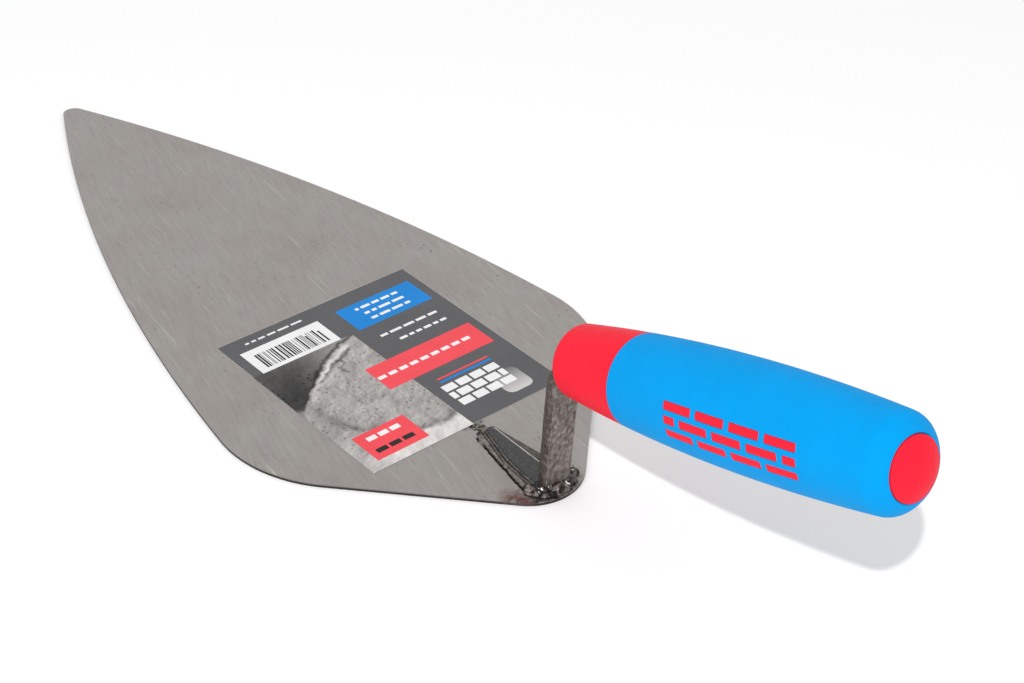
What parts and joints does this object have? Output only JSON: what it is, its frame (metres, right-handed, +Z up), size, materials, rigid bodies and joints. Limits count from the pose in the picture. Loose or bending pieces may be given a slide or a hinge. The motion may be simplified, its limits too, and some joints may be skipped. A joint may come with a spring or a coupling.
{
  "type": "brick trowel",
  "caption": "Brick trowel with a flat pointed steel blade, a cranked forged stem welded on at the heel, and a two-colour moulded grip.",
  "frame": {"origin": "on the blade's underside, where the stem's centre line meets it", "axes": "+X along the blade, from the handle to the tip; +Z up, out of the blade's upper face; +Y to the left"},
  "size_m": [0.3902, 0.1248, 0.0925],
  "materials": {
    "blade_steel": "ground, with fine short scratches",
    "forged_steel": "dark forged scale",
    "weld_metal": "rough weld metal with heat tint",
    "hard_plastic": "satin red",
    "soft_plastic": "soft blue overmould",
    "label_film": "printed film"
  },
  "bodies": {
    "root": {"blade": "blade_steel", "stem": "forged_steel", "weld_left": "weld_metal", "weld_right": "weld_metal", "weld_toe": "weld_metal", "weld_heel": "weld_metal", "handle_core": "hard_plastic", "soft_grip": "soft_plastic", "end_cap": "hard_plastic", "label": "label_film"}
  },
  "joints": []
}
